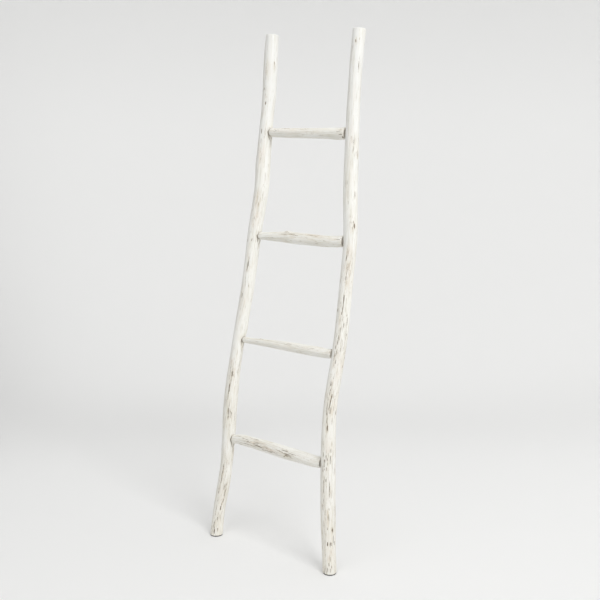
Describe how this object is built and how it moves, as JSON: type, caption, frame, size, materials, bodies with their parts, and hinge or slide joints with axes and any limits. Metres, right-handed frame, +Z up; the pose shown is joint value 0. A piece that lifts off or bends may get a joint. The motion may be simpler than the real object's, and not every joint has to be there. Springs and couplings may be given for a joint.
{
  "type": "blanket ladder",
  "caption": "Rustic leaning ladder of peeled, whitewashed branches: two tapering-in rails joined by rungs that hold folded blankets.",
  "frame": {"origin": "on the floor plane, under the middle of the ladder's box in the leaning pose that it is used in", "axes": "+Z up, +Y from the ladder's front towards the wall that it leans on, +X along the rungs to the right rail"},
  "size_m": [0.5638, 0.314, 1.8135],
  "materials": {
    "whitewashed_wood": "matte chalky whitewash over peeled branch wood",
    "peg_wood": "thinly whitewashed end grain",
    "foot_rubber": "matte"
  },
  "bodies": {
    "root": {"left_rail": "whitewashed_wood", "right_rail": "whitewashed_wood", "rung_1": "whitewashed_wood", "rung_2": "whitewashed_wood", "rung_3": "whitewashed_wood", "rung_4": "whitewashed_wood", "rung_pegs": "peg_wood", "left_foot_pad": "foot_rubber", "right_foot_pad": "foot_rubber"}
  },
  "joints": []
}
